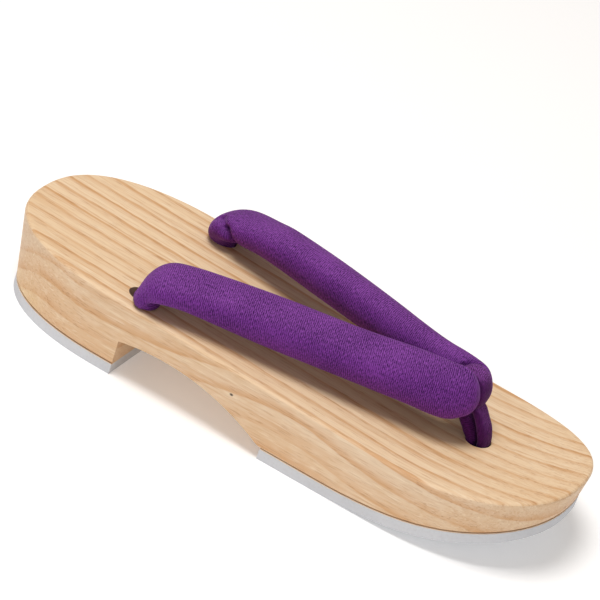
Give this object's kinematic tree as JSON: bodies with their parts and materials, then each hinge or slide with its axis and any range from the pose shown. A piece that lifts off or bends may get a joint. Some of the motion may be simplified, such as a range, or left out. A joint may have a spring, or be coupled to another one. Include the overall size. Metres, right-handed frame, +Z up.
{
  "type": "geta_sandal",
  "caption": "Wooden geta sandal with a hollowed waist, rubber tread pads, and a padded V-shaped cloth strap held by a toe loop",
  "frame": {"origin": "On the floor, under the middle of the base", "axes": "+Y runs from heel to toe, +Z is up from the floor through the footbed, +X is across the sandal towards its right side"},
  "size_m": [0.0864, 0.24, 0.0553],
  "materials": {
    "wood": "matte",
    "rubber": "matte",
    "strap_cloth": "matte",
    "loop_cloth": "matte",
    "cord": "matte"
  },
  "bodies": {
    "root": {"base": "wood", "heel_pad": "rubber", "forefoot_pad": "rubber", "strap": "strap_cloth", "front_loop": "loop_cloth", "front_knot": "cord", "rear_knot_right": "cord", "rear_knot_left": "cord"}
  },
  "joints": []
}
